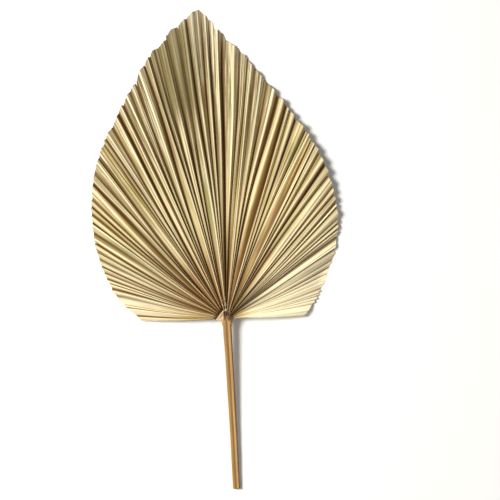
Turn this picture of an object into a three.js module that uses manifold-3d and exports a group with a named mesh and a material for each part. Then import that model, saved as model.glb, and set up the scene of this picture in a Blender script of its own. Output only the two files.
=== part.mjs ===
// A dried fan palm leaf, its margin trimmed to a spade outline, lying face up on a flat surface.
//
// Units are millimetres. +Y runs from the cut end of the stalk to the tip of the blade, +X is to the
// right seen from above, and +Z is up. While the leaf is being shaped, all its folds run from a fan
// centre at x = 0, y = 0. At the end the leaf moves so that the origin lies on the surface, in the
// middle of the leaf's outer box.
import * as THREE from "three";
import { mergeVertices } from "three/addons/utils/BufferGeometryUtils.js";
import Module from "manifold-3d";

// Driving dimensions
const BLADE_REACH = 352; // fan centre to tip
const HALF_WIDTH_LEFT = 140;
const HALF_WIDTH_RIGHT = 134;
const STALK_REACH = 188; // fan centre to cut end
const STALK_WIDTH = { cut: 8, head: 10 };
const STALK_DEPTH = { cut: 6.6, head: 8 };

// The trimmed margin, from each lobe's corner to the tip, in shares of half the width and of the reach
const MARGIN_LEFT = [
  [-0.68, 0.025],
  [-0.9, 0.137],
  [-1, 0.33],
  [-0.907, 0.55],
  [-0.522, 0.806],
  [-0.272, 0.925],
  [0, 1],
];
const MARGIN_RIGHT = [
  [0.65, -0.006],
  [0.852, 0.102],
  [1, 0.285],
  [0.892, 0.512],
  [0.493, 0.758],
  [0.205, 0.913],
  [0, 1],
];

// Pleats
const PLEATS = 72;
const PITCH_SPREAD = 0.55; // how far a pleat's width strays from the mean, as a share of it
const CREST_LEAN = 0.1; // crests lie right of the middle of their pleats, as a share of the width
const CREST_DRIFT = 0.2; // how far a crest strays from there
const DEPTH_SHARE = { middle: 0.7, lobe: 0.4 }; // fold depth over pleat width, near the stalk
const DEPTH_SPREAD = 0.3;
const DEPTH_MOST = 9; // the deepest that a fold gets, out where the pleats are wide
const TOOTH = 0.8; // crests reach past the margin and valleys stop short of it by this much
const TOOTH_SPREAD = 0.7;
const BLADE_THICKNESS = 1; // measured straight up, so about 0.7 across a sloping facet
const ROWS = 10; // steps from the stalk's head to the margin

// By the head every few facets make one large fold: one facet lies open, and the others are squeezed.
// The open one has the least room plus a share of the rest, where the others have about 1 each. The bunch
// eases between the start and the end distance, and its depth dies away over the reach.
const BUNCH = { facets: 8, least: 2.5, rest: 6.5, start: 25, end: 260, depth: 1.6, reach: 80 };
const MIDDLE_FOLD = THREE.MathUtils.degToRad(3.7); // the bunch here has no open facet
const GATHER = { share: 0.35, reach: 15 }; // how much all folds close up towards the tip by the head

// Steps that the scissors left in the margin: where one starts, in degrees from the tip and to the right,
// how many degrees it takes to run out again away from the tip, and how deep it is
const NICKS = [
  { start: 2.7, span: 2, cut: 7 },
  { start: 5, span: 2.4, cut: 5 },
  { start: -6.7, span: 2.6, cut: 5 },
];

// How the leaf lies
const HEAD_HEIGHT = 14; // the fan centre above the surface
const ARCH = { middle: 10, lobe: 3 }; // how far a fold line bows up between its ends
const MARGIN_LIFT = 9; // the margin's height between the three places where it comes down
const MARGIN_LOW = 1.4;
const REST_ANGLE = THREE.MathUtils.degToRad(70); // the lobes touch down this far round from the tip
const REST_SINK = { tip: 3, lobe: 13 }; // pressed flat where it would pass below the surface
const REST_SPAN = 14; // half the length of margin that bends down to touch
const REST_FADE = 6; // how soon the bend dies away inwards: a power of the way to the margin

// The opening in the fan that the stalk's head stands in: a blunt arch with three straight sides, each
// at a distance from the fan centre and square to a direction given in degrees from the tip
const THROAT = [
  { distance: 12.6, direction: -48.8 },
  { distance: 13.6, direction: 9 },
  { distance: 6.4, direction: 67 },
];
const CLEARANCE = 0.5;
const SLIVER = 0.02; // edges shorter than this, and loose scraps, are left out of the cut stalk

// The stalk, which runs on past the fan centre as a rib under the blade
const STALK_LEAN = -6.7; // the cut end lies this far to the left of the blade's axis
const STALK_MIDDLE = { lean: 0.45, rise: 0.53 }; // its place half way, in shares of the lean and of the head
const STALK_SIDES = 14;
const STALK_STEPS = 22;
const RIB_REACH = 26;
const RIB_TIP = 0.3; // the rib's end in shares of the stalk's width and depth
const TOP_ROUNDING = 0.8; // the stalk's top is flatter than its underside
const CHANNEL = { depth: 0.12, width: 0.4 }; // the groove along its top, in shares of half its depth and width

// The stalk's head as lumps that grew together: half sizes, middles and turns in degrees. The left arm of
// the flap on top of it ends in an ear, which a web joins to the stalk, and its right arm is a thick lump.
const HEAD = { across: 4.8, along: 9, high: 4, x: 0, y: 2.4, z: 13.2, turn: 0 };
const LEFT_ARM = { across: 1.8, along: 6.4, high: 2.6, x: -5.8, y: 8.2, z: 14.6, turn: -39 };
const WEB = { across: 2.4, along: 6.4, high: 2.4, x: -5.4, y: 1.4, z: 13.6, turn: 25 };
const RIGHT_ARM = { across: 2.4, along: 6.4, high: 3, x: 3.4, y: 6.8, z: 14.2, turn: 25 };

const STRAW = "#b9a577";
const STALK_BROWN = "#b08a5c";

// A repeatable draw from 0 to 1
function draw(index, stream) {
  const wave = Math.sin(index * 12.9898 + stream * 78.233) * 43758.5453;
  return wave - Math.floor(wave);
}

// A repeatable draw from -1 to 1
function stray(index, stream) {
  return 2 * draw(index, stream) - 1;
}

// One half of the margin as the polar angle from the tip and the distance from the fan centre
function marginHalf(shares, halfWidth) {
  const points = shares.map(([x, y]) => new THREE.Vector2(x * halfWidth, y * BLADE_REACH));
  return new THREE.SplineCurve(points)
    .getPoints(240)
    .map((p) => ({ angle: Math.atan2(p.x, p.y), radius: p.length() }));
}

const marginLeft = marginHalf(MARGIN_LEFT, HALF_WIDTH_LEFT);
const marginRight = marginHalf(MARGIN_RIGHT, HALF_WIDTH_RIGHT);
const FAN_LEFT = marginLeft[0].angle;
const FAN_RIGHT = marginRight[0].angle;

// Distance from the fan centre to the smooth margin along one direction
function marginRadius(angle) {
  const half = angle < 0 ? marginLeft : marginRight;
  const turn = Math.abs(angle);
  const next = half.findIndex((p, i) => i > 0 && Math.abs(p.angle) <= turn);
  if (next < 1) return half[next < 0 ? half.length - 1 : 0].radius;
  const [a, b] = [half[next - 1], half[next]];
  const share = (Math.abs(a.angle) - turn) / (Math.abs(a.angle) - Math.abs(b.angle));
  return THREE.MathUtils.lerp(a.radius, b.radius, share);
}

// From 0 at the leaf's axis to 1 at the outer folds of the two lobes
function lobeShare(angle) {
  return THREE.MathUtils.smoothstep(Math.abs(angle), Math.PI / 6, Math.PI / 2);
}

// The fold lines from left to right: valley, crest, valley, crest and so on to a last valley
function layFolds() {
  const widths = Array.from({ length: PLEATS }, (_, i) => 1 + PITCH_SPREAD * stray(i, 1));
  const unit = (FAN_RIGHT - FAN_LEFT) / widths.reduce((sum, w) => sum + w, 0);
  const lines = [];
  let start = FAN_LEFT;
  widths.forEach((width, i) => {
    const pitch = width * unit;
    const before = i > 0 ? widths[i - 1] * unit : pitch;
    lines.push({ angle: start, side: -1, pitch: (pitch + before) / 2, index: 2 * i });
    const crest = start + pitch * (0.5 + CREST_LEAN + CREST_DRIFT * stray(i, 2));
    lines.push({ angle: crest, side: 1, pitch, index: 2 * i + 1 });
    start += pitch;
  });
  const last = widths[PLEATS - 1] * unit;
  lines.push({ angle: FAN_RIGHT, side: -1, pitch: last, index: 2 * PLEATS });
  return bunchFolds(lines);
}

// Adds where each fold line runs by the head, and how far it rises or sinks there with its bunch, from -1
// to 1. The open facet rises to the right, and the others come down again.
function bunchFolds(lines) {
  const last = lines.length - 1;
  const offMiddle = (line) => Math.abs(line.angle - MIDDLE_FOLD) + (line.side > 0 ? Math.PI : 0);
  const middle = lines.reduce((best, line) => (offMiddle(line) < offMiddle(best) ? line : best));
  const bunched = lines.map((line) => line.angle);
  const keys = [{ angle: bunched[0], rise: 0 }];
  for (let first = 0; first < last; first += BUNCH.facets) {
    const room = Array.from({ length: BUNCH.facets }, (_, i) => 0.6 + 0.8 * draw(first + i, 14));
    const open = 1 + Math.floor(draw(first, 15) * (BUNCH.facets - 2));
    const holdsMiddle = middle.index >= first && middle.index < first + BUNCH.facets;
    if (!holdsMiddle) room[open] = BUNCH.least + BUNCH.rest * draw(first, 16);
    const span = bunched[first + BUNCH.facets] - bunched[first];
    const unit = span / room.reduce((sum, r) => sum + r, 0);
    for (let i = 1; i < BUNCH.facets; i++) bunched[first + i] = bunched[first + i - 1] + room[i - 1] * unit;
    keys.push({ angle: bunched[first + open], rise: -1 });
    keys.push({ angle: bunched[first + open + 1], rise: 1 });
  }
  keys.push({ angle: bunched[last], rise: 0 });
  return lines.map((line, i) => {
    const next = Math.max(keys.findIndex((key) => key.angle >= bunched[i]), 1);
    const [a, b] = [keys[next - 1], keys[next]];
    const rise = THREE.MathUtils.mapLinear(bunched[i], a.angle, b.angle, a.rise, b.rise);
    return { ...line, bunched: bunched[i], rise };
  });
}

// The direction of a fold line at a distance from the fan centre
function foldRun(line, radius) {
  const eased = THREE.MathUtils.smoothstep(radius, BUNCH.start, BUNCH.end);
  return THREE.MathUtils.lerp(line.bunched, line.angle, eased);
}

// That direction once all folds have closed up towards the tip by the head
function gather(angle, radius) {
  return angle * (1 - GATHER.share * Math.exp(-radius / GATHER.reach));
}

// How far the scissors went inside the smooth margin
function nickDepth(angle) {
  const degrees = THREE.MathUtils.radToDeg(angle);
  return NICKS.reduce((sum, { start, span, cut }) => {
    const past = Math.sign(start) * (degrees - start);
    return past >= 0 && past < span ? sum + cut * (1 - past / span) : sum;
  }, 0);
}

// The margin's height above the surface, low at the tip and at one place on each lobe
function marginHeight(angle) {
  return MARGIN_LOW + MARGIN_LIFT * Math.sin((Math.PI * angle) / REST_ANGLE) ** 2;
}

// How far the blade bends down to rest on the surface at those three places
function restSink(angle, radius) {
  const near = (place) => Math.exp(-((((angle - place) * radius) / REST_SPAN) ** 2));
  return REST_SINK.tip * near(0) + REST_SINK.lobe * (near(REST_ANGLE) + near(-REST_ANGLE));
}

// A fold line's depth, up at a crest and down at a valley, at a distance from the fan centre
function foldHeight(line, radius) {
  const share = THREE.MathUtils.lerp(DEPTH_SHARE.middle, DEPTH_SHARE.lobe, lobeShare(line.angle));
  const wanted = share * (1 + DEPTH_SPREAD * stray(line.index, 3)) * line.pitch * radius;
  return (line.side * DEPTH_MOST * (1 - Math.exp(-wanted / DEPTH_MOST))) / 2;
}

// Distance from the fan centre to the blade's inner edge along a fold line, whose turn depends on it
function throatRadius(line) {
  let radius = THROAT[0].distance;
  for (let i = 0; i < 4; i++) {
    const turned = gather(line.bunched, radius);
    const sides = THROAT.map(({ distance, direction }) => {
      const reach = Math.cos(turned - THREE.MathUtils.degToRad(direction));
      return distance / Math.max(reach, 0.01);
    });
    radius = Math.min(...sides);
  }
  return radius;
}

// The underside of the blade at a share of the way along a fold line, never below the surface, and moved
// towards the fan centre by the inset and to the right of the line by the shift
function bladePoint(line, share, inset, shift) {
  const rim = foldRun(line, marginRadius(line.angle));
  const smooth = marginRadius(rim);
  const tooth = TOOTH * line.side + TOOTH_SPREAD * stray(line.index, 4);
  const outer = smooth + tooth - nickDepth(rim);
  const radius = THREE.MathUtils.lerp(throatRadius(line), outer, share);
  const run = foldRun(line, radius);
  const arch = THREE.MathUtils.lerp(ARCH.middle, ARCH.lobe, lobeShare(run));
  const bow = 4 * arch * share * (1 - share);
  const sink = restSink(run, smooth) * share ** REST_FADE;
  const lie = THREE.MathUtils.lerp(HEAD_HEIGHT, marginHeight(run), share) + bow - sink;
  const bunch = BUNCH.depth * line.rise * Math.exp(-radius / BUNCH.reach);
  const height = Math.max(lie + bunch + foldHeight(line, radius) - BLADE_THICKNESS / 2, 0);
  const reach = radius - inset;
  const turned = gather(run, radius) + shift / reach;
  return new THREE.Vector3(reach * Math.sin(turned), reach * Math.cos(turned), height);
}

// The pleated sheet as a closed surface. Both faces are split into the same triangles. Room grows the
// sheet up, down, at both sides and, by one more row, towards the stalk, to make the space that it needs.
function bladeGeometry(folds, room = 0) {
  const columns = folds.length - 1;
  const rows = room > 0 ? ROWS + 1 : ROWS;
  const grid = new THREE.PlaneGeometry(1, 1, columns, rows);
  const { index, attributes } = grid;
  const count = attributes.position.count;
  const positions = new Float32Array(2 * count * 3);
  for (let i = 0; i < count; i++) {
    const column = i % folds.length;
    const row = Math.floor(i / folds.length);
    const share = Math.max(1 - row / ROWS, 0);
    const shift = column === columns ? room : column === 0 ? -room : 0;
    const under = bladePoint(folds[column], share, row > ROWS ? room : 0, shift);
    const over = under.clone();
    over.z += BLADE_THICKNESS + room;
    under.z -= room;
    over.toArray(positions, 3 * i);
    under.toArray(positions, 3 * (count + i));
  }
  const triangles = [];
  for (let i = 0; i < index.count; i += 3) {
    const [a, b, c] = [index.getX(i), index.getX(i + 1), index.getX(i + 2)];
    triangles.push(a, b, c, count + c, count + b, count + a);
  }
  const rim = [];
  for (let c = 0; c < columns; c++) rim.push(c);
  for (let r = 0; r < rows; r++) rim.push(r * folds.length + columns);
  for (let c = columns; c > 0; c--) rim.push(rows * folds.length + c);
  for (let r = rows; r > 0; r--) rim.push(r * folds.length);
  rim.forEach((a, i) => {
    const b = rim[(i + 1) % rim.length];
    triangles.push(a, b, count + b, a, count + b, count + a);
  });
  const geometry = new THREE.BufferGeometry();
  geometry.setAttribute("position", new THREE.BufferAttribute(positions, 3));
  geometry.setIndex(triangles);
  return geometry;
}

// The stalk as a tapering rod along a gentle curve: flat on top, round below, with a shallow channel
function stalkGeometry() {
  const { lean, rise } = STALK_MIDDLE;
  const path = new THREE.CatmullRomCurve3([
    new THREE.Vector3(STALK_LEAN, -STALK_REACH, STALK_DEPTH.cut / 2),
    new THREE.Vector3(lean * STALK_LEAN, -STALK_REACH / 2, rise * HEAD.z),
    new THREE.Vector3(0, 0, HEAD.z),
    new THREE.Vector3(0, RIB_REACH, HEAD.z - 1),
  ]);
  const rod = new THREE.CylinderGeometry(1, 1, 1, STALK_SIDES, STALK_STEPS);
  const position = rod.getAttribute("position");
  const ribStart = STALK_REACH / (STALK_REACH + RIB_REACH);
  for (let i = 0; i < position.count; i++) {
    const share = position.getY(i) + 0.5;
    const centre = path.getPointAt(share);
    const along = path.getTangentAt(share);
    const right = new THREE.Vector3(along.y, -along.x, 0).normalize();
    const up = new THREE.Vector3().crossVectors(right, along);
    const swell = Math.min(share / ribStart, 1) ** 2;
    const narrow = THREE.MathUtils.mapLinear(Math.max(share, ribStart), ribStart, 1, 1, RIB_TIP);
    const width = THREE.MathUtils.lerp(STALK_WIDTH.cut, STALK_WIDTH.head, swell) * narrow;
    const depth = THREE.MathUtils.lerp(STALK_DEPTH.cut, STALK_DEPTH.head, swell) * narrow;
    const [x, z] = [position.getX(i), position.getZ(i)];
    const groove = CHANNEL.depth * Math.exp(-((x / CHANNEL.width) ** 2)) * Math.hypot(x, z);
    const height = z > 0 ? TOP_ROUNDING * z - groove : z;
    centre.addScaledVector(right, (x * width) / 2).addScaledVector(up, (height * depth) / 2);
    position.setXYZ(i, centre.x, centre.y, Math.max(centre.z, 0));
  }
  return rod;
}

// A rounded lump of the head
function lumpGeometry({ across, along, high, x, y, z, turn }) {
  const lump = new THREE.SphereGeometry(1, 18, 12);
  return lump.scale(across, along, high).rotateZ(THREE.MathUtils.degToRad(turn)).translate(x, y, z);
}

const wasm = await Module();
wasm.setup();

function solidOf(geometry) {
  const bare = geometry.clone();
  bare.deleteAttribute("normal");
  bare.deleteAttribute("uv");
  const merged = mergeVertices(bare, 1e-4);
  return new wasm.Manifold(
    new wasm.Mesh({
      numProp: 3,
      vertProperties: merged.getAttribute("position").array,
      triVerts: new Uint32Array(merged.index.array),
    }),
  );
}

function geometryOf(solid) {
  const mesh = solid.getMesh();
  const geometry = new THREE.BufferGeometry();
  geometry.setAttribute("position", new THREE.BufferAttribute(mesh.vertProperties, 3));
  geometry.setIndex(new THREE.BufferAttribute(mesh.triVerts, 1));
  return geometry;
}

function namedMesh(name, geometry, color, roughness) {
  geometry.computeVertexNormals();
  const mesh = new THREE.Mesh(
    geometry,
    new THREE.MeshStandardMaterial({ color, roughness, metalness: 0 }),
  );
  mesh.name = name;
  return mesh;
}

const folds = layFolds();
const stalk = [HEAD, LEFT_ARM, WEB, RIGHT_ARM]
  .reduce((sum, lump) => sum.add(solidOf(lumpGeometry(lump))), solidOf(stalkGeometry()))
  .subtract(solidOf(bladeGeometry(folds, CLEARANCE)))
  .simplify(SLIVER)
  .decompose()
  .reduce((best, body) => (body.volume() > best.volume() ? body : best));

const leaf = new THREE.Group();
leaf.add(namedMesh("blade", bladeGeometry(folds), STRAW, 0.75));
leaf.add(namedMesh("stalk", geometryOf(stalk), STALK_BROWN, 0.6));

const box = new THREE.Box3().setFromObject(leaf);
leaf.position.set(-(box.min.x + box.max.x) / 2, -(box.min.y + box.max.y) / 2, -box.min.z);

const part = new THREE.Group();
part.add(leaf);

export default part;
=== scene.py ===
"""Finishes a dried fan palm leaf: a thin pleated sheet, a fibrous stalk, its head and loose threads."""

import math
from bisect import bisect_left
from collections import namedtuple
from functools import partial

import bmesh
import bpy
from bpy.props import FloatProperty, FloatVectorProperty, IntProperty, PointerProperty
from mathutils import Matrix, Vector, noise


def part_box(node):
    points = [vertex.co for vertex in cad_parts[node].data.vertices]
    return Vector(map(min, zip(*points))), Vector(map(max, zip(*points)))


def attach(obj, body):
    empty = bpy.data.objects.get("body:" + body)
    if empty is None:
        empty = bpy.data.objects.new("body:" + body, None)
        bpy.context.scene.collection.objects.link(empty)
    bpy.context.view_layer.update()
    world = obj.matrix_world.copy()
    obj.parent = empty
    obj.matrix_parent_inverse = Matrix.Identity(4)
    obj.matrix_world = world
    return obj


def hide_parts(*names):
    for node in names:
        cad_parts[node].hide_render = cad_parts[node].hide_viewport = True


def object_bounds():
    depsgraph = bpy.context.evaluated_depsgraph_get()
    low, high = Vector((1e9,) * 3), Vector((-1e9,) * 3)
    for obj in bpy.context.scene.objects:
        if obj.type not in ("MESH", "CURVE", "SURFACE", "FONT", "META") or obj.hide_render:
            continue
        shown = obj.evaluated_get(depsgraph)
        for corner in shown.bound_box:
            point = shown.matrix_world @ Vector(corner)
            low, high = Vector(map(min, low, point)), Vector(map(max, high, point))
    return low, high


bl_info = {
    "name": "Dried Fan Palm Leaf",
    "version": (1, 0, 0),
    "blender": (4, 5, 0),
    "location": "View3D > Sidebar > Palm Leaf",
    "description": "Models a trimmed, dried fan palm leaf lying face up",
    "category": "Object",
}

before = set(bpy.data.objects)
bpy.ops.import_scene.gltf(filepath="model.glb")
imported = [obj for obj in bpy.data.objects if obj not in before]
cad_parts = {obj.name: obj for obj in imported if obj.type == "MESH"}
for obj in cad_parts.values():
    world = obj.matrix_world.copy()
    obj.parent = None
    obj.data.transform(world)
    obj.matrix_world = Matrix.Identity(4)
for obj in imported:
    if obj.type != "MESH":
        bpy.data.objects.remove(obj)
CAD_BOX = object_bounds()
BODY = "root"
MM = 0.001

# Sizes of the solid leaf, in millimetres, with the fan centre as origin
REACH = 352
HALF_WIDTH = {"left": 140, "right": 134}
STALK_REACH = 188
MARGIN = {
    "left": (
        (-0.68, 0.025), (-0.9, 0.137), (-1, 0.33), (-0.907, 0.55),
        (-0.522, 0.806), (-0.272, 0.925), (0, 1),
    ),
    "right": (
        (0.65, -0.006), (0.852, 0.102), (1, 0.285), (0.892, 0.512),
        (0.493, 0.758), (0.205, 0.913), (0, 1),
    ),
}
MARGIN_STEPS = 240
PLEATS = 72
PITCH_SPREAD = 0.55
CREST_DRIFT = 0.2
DEPTH_MIDDLE = 0.7
DEPTH_LOBE = 0.4
DEPTH_SPREAD = 0.3
DEPTH_MOST = 9
TOOTH = 0.8
TOOTH_SPREAD = 0.7
NICKS = ((2.7, 2, 7), (5, 2.4, 5), (-6.7, 2.6, 5))  # start and span in degrees, depth
HEAD_HEIGHT = 14
ARCH_MIDDLE = 10
ARCH_LOBE = 3
MARGIN_LIFT = 9
MARGIN_LOW = 1.4
REST_ANGLE = math.radians(70)
REST_SINK_TIP = 2
REST_SINK_LOBE = 4
REST_SPAN = 14
REST_FADE = 4
STALK_LEAN = -6.7
RIB_REACH = 26

# The sheet's throat by the head: distance and direction of each straight side
THROAT = (
    (12.6, math.radians(-48.8)),
    (13.6, math.radians(9)),
    (6.4, math.radians(67)),
)
GATHER = 0.35  # how much the folds close up towards the tip by the head
GATHER_REACH = 15
CREST_LEAN = 0.1  # crests lie right of the middle between their valleys
MIDDLE_ANGLE = math.radians(3.7)  # about where the deep valley up the middle runs
BUNCH_FACETS = 8  # facets that make one large fold by the head
BUNCH_LEAST = 0.6  # the least room of a facet in a bunch, and how much more it may have
BUNCH_VARY = 0.8
BUNCH_OPEN = 2.5  # the same for the one that lies open
BUNCH_MORE = 6.5
BUNCH_START = 25
BUNCH_END = 260
BUNCH_DEPTH = 1.6
BUNCH_REACH = 80

# Folds that only the thin sheet shows, with FULL and FROM as shares of the way out
UNEVEN = 0.6
UNEVEN_REACH = 70
UNEVEN_FULL = 0.1
LOOSE = 0.4
LOOSE_FROM = 0.7
SLACK = 0.3
SLACK_FROM = 0.65
MIDDLE_SINK = 2.5
MIDDLE_REACH = 120
WANDER = 0.09  # how far a fold line strays sideways, over the width of its pleat
WANDER_WAVES = (45, 75)
WANDER_PHASE = 6.3  # about a full turn
CREASE_MOST = 1.8
RIPPLE = 0.2  # height of the small creases, over the width of a facet
FLAT_LOBE = 0.75  # how much of their depth the folds of the right lobe have lost
FLAT_ANGLES = (math.radians(58), math.radians(68))
MARGIN_ROUGH = 0.2
SPLIT_VALLEYS = 0.25  # share of the valleys that have split at the margin
UNDER_HEAD = 0.6  # how far the sheet runs in under the head

# Distances from the fan centre where these start and where they are full
RIPPLE_OUT = (60, 180)
RIB_OUT = (10, 60)
VEIN_OUT = (20, 160)

# How finely the sheet is divided: steps across one facet, close together at its folds, and steps outwards
FACET_STEPS = (0, 0.09, 0.24, 0.33, 0.41, 0.5, 0.59, 0.67, 0.76, 0.91)
CREASE_STEPS = FACET_STEPS[3:8]
RIPPLE_STEPS = (0, 0.24, 0.5, 0.76, 1)
SHEET_ROWS = 28
VEIN_DRAWS = 50  # draws set aside for each facet

# Bands of the sheet's layout for the export
UPPER_BAND = (0.4, 0.97)
UNDER_BAND = (0.03, 0.36)
OUTER_RIM = 0.37
OUTER_RIM_WIDTH = 0.02
INNER_RIM = 0.005
SIDE_RIM = 0.98
RIM_WIDTH = 0.015

# The scene's stalk: its path, its section and its cut end
STALK_DROP = 0.3  # how far the top of its path is under the height of the head
STALK_MIDDLE_LEAN = 0.45  # its place half way, in shares of the lean and of the top
STALK_MIDDLE_RISE = 0.53
STALK_STEPS = 60
STALK_SIDES = 64
STALK_ROWS = 150
RIB_STEPS = 16
RIB_DROP = 3.2
RIB_DROP_END = 3.4
RIB_NARROW = 0.3
FLAT_TOP = 0.8
CHANNEL = 0.12
CHANNEL_WIDTH = 0.4
CUT_RIM = 0.5
CUT_DISH = 0.35
CUT_HEART = 0.4

# Lumps that make a ridge of the head, and threads
RIDGE_LUMPS = 14
RIDGE_RISE = 1.2
RIDGE_SPREAD = 0.15
HEAD_VOXEL = 0.3
HEAD_CRESTS = (0.41, 0.66)  # shares of the crests, from the left, that have threads by the head
THREAD_SIDES = 5
THREAD_STEPS = 8

Fold = namedtuple("Fold", "angle side pitch index")


def linear(hex_colour):
    """An sRGB hex colour as the linear values that shaders take."""
    parts = [int(hex_colour[i:i + 2], 16) / 255 for i in (1, 3, 5)]
    return tuple(c / 12.92 if c <= 0.04045 else ((c + 0.055) / 1.055) ** 2.4 for c in parts) + (1.0,)


def colour(name, description, hex_colour):
    tone = linear(hex_colour)
    return FloatVectorProperty(
        name=name, description=description, subtype="COLOR", size=4, min=0, max=1, default=tone
    )


def length(name, description, millimetres):
    metres = millimetres * MM
    kind = {"subtype": "DISTANCE", "unit": "LENGTH", "precision": 5}
    return FloatProperty(name=name, description=description, min=0, default=metres, **kind)


def wattage(name, description, watts):
    return FloatProperty(name=name, description=description, subtype="POWER", unit="POWER", default=watts)


class BladeSettings(bpy.types.PropertyGroup):
    """The dried sheet of the leaf."""

    sheet: length("Sheet", "Thickness of the sheet, measured straight up", 0.45)
    rib: length("Rib", "How far the rib along each crest stands up", 0.25)
    crease: FloatProperty(
        name="Crease", description="Depth of the crease along a facet, over the facet's width", default=0.26
    )
    vein: length("Vein", "Height of the fine veins along the facets", 0.18)
    notch: length("Notch", "Depth of the deepest notch where a valley has split at the margin", 4)
    straw: colour("Straw", "Most of the sheet", "#cdbc87")
    # Painted shade tint for the right flanks, which face away from the key light
    shaded_flank_tint: colour("Honey", "The right flanks of the pleats", "#d2ae62")
    # Besides bleached crests and pale veins, paints light on the lobes and highlight on crests and large
    # folds
    pale: colour("Pale crest", "Crests and lobes that have bleached", "#f6eac6")
    # Besides umber streaks and veins, paints shade in the folds, on right flanks, up the middle and round
    # the head
    valley: colour("Valley", "Browned folds and umber streaks", "#5a3709")
    # Painted shade on right flanks of the left half, and darker folds right of the head
    dark_olive: colour("Moss", "Deep folds where the brown is greener", "#4f3f10")
    olive: colour("Olive", "Where some green was left when the leaf dried", "#a6a153")
    rose: colour("Rose", "Pinkish streaks", "#d2a580")
    russet: colour("Russet", "Reddish streaks by the head", "#7b482c")
    gold: colour("Gold", "The sheet next to the stalk", "#9b6d28")
    grey: colour("Grey", "The weathered tip", "#b1aa92")
    # Also a painted shadow in a patch on the upper left
    shade: colour("Dull patch", "Where the sheet has dulled up the middle", "#75663f")


class StalkSettings(bpy.types.PropertyGroup):
    """The stalk, its head and the flap on the head."""

    width_cut: length("Width at the cut", "Width of the stalk at its cut end", 8)
    width_head: length("Width at the head", "Width of the stalk below its head", 10)
    depth_cut: length("Depth at the cut", "Depth of the stalk at its cut end", 6.6)
    depth_head: length("Depth at the head", "Depth of the stalk below its head", 8)
    fibre: length("Fibre", "Height of the fibres along the stalk's skin", 0.12)
    skin: colour("Skin", "The stalk's skin", "#97743d")
    # Also the painted shade along the stalk's right edge
    shade: colour("Dark skin", "Browned streaks and edges", "#6b4321")
    # Also the painted light along the stalk's left edge
    stripe: colour("Stripe", "The pale stripe along the top", "#cba467")
    band: colour("Band", "The brown band beside the stripe", "#8c5b2a")
    plum: colour("Plum", "The browned right side of the head", "#6a4830")
    # Painted shade in the crack behind the head's arm and in its hollows
    hollow: colour("Hollow", "The dark hollows in the head", "#1f0f08")
    cream: colour("Cream", "The dry lip on the left side of the head", "#d6ba90")
    blush: colour("Blush", "Pinkish patches on the head", "#b98d78")
    pith: colour("Pith", "The cut end", "#cdb48a")


class ThreadSettings(bpy.types.PropertyGroup):
    """Loose fibres."""

    radius: length("Radius", "Half the thickness of a thread at its root", 0.16)
    at_head: IntProperty(
        name="At the head", description="Threads that lie along the crests by the head", default=18
    )
    at_margin: IntProperty(
        name="At the margin", description="Threads that stand out of the margin", default=40
    )


class StageSettings(bpy.types.PropertyGroup):
    """Floor, light and camera."""

    floor: colour("Floor", "The plain pale floor", "#f7f7f5")
    key: wattage("Key light", "Power of the main light", 54)
    fill: wattage("Fill light", "Power of the fill", 4)
    sky: FloatProperty(name="Sky", description="Strength of the light from all round", default=0.18)
    lean: FloatProperty(
        name="Lean", description="How far the leaf leans to the left in the picture",
        subtype="ANGLE", unit="ROTATION", default=math.radians(5.31),
    )


def lerp(a, b, share):
    return a + (b - a) * share


def smoothstep(low, high, value):
    share = min(max((value - low) / (high - low), 0), 1)
    return share * share * (3 - 2 * share)


def draw(index, stream):
    """A repeatable draw from 0 to 1, the same one that laid the solid leaf's folds."""
    wave = math.sin(index * 12.9898 + stream * 78.233) * 43758.5453
    return wave - math.floor(wave)


def stray(index, stream):
    """A repeatable draw from -1 to 1."""
    return 2 * draw(index, stream) - 1


def spline(points, steps):
    """Points along a smooth curve through the given ones."""
    points = [Vector(p) for p in points]
    last = len(points) - 1
    found = []
    for i in range(steps + 1):
        place = last * i / steps
        k = min(int(place), last - 1)
        t = place - k
        before, a, b, after = points[max(k - 1, 0)], points[k], points[k + 1], points[min(k + 2, last)]
        va = (b - before) / 2
        vb = (after - a) / 2
        found.append((2 * a - 2 * b + va + vb) * t**3 + (3 * b - 3 * a - 2 * va - vb) * t**2 + va * t + a)
    return found


def margin_half(side):
    """One half of the margin from the tip round: its turns, and its distances from the fan centre."""
    points = [(x * HALF_WIDTH[side], y * REACH) for x, y in reversed(MARGIN[side])]
    found = spline(points, MARGIN_STEPS)
    return [abs(math.atan2(p.x, p.y)) for p in found], [p.length for p in found]


MARGIN_LEFT = margin_half("left")
MARGIN_RIGHT = margin_half("right")


def margin_radius(angle):
    """Distance from the fan centre to the smooth margin."""
    turns, radii = MARGIN_LEFT if angle < 0 else MARGIN_RIGHT
    turn = min(abs(angle), turns[-1])
    k = max(bisect_left(turns, turn), 1)
    return lerp(radii[k - 1], radii[k], (turn - turns[k - 1]) / (turns[k] - turns[k - 1]))


def lobe_share(angle):
    return smoothstep(math.pi / 6, math.pi / 2, abs(angle))


def lay_folds():
    """The fold lines from left to right: valley, crest, valley, crest and so on to a last valley."""
    widths = [1 + PITCH_SPREAD * stray(i, 1) for i in range(PLEATS)]
    left, right = -MARGIN_LEFT[0][-1], MARGIN_RIGHT[0][-1]
    unit = (right - left) / sum(widths)
    folds = []
    start = left
    for i, width in enumerate(widths):
        pitch = width * unit
        before = widths[i - 1] * unit if i else pitch
        folds.append(Fold(start, -1, (pitch + before) / 2, 2 * i))
        crest = start + pitch * (0.5 + CREST_LEAN + CREST_DRIFT * stray(i, 2))
        folds.append(Fold(crest, 1, pitch, 2 * i + 1))
        start += pitch
    folds.append(Fold(right, -1, widths[-1] * unit, 2 * PLEATS))
    return folds


FOLDS = lay_folds()
VALLEYS = [fold for fold in FOLDS if fold.side < 0]
MIDDLE = min(VALLEYS, key=lambda fold: abs(fold.angle - MIDDLE_ANGLE))
MIDDLE_BUNCH = MIDDLE.index - MIDDLE.index % BUNCH_FACETS


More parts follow.
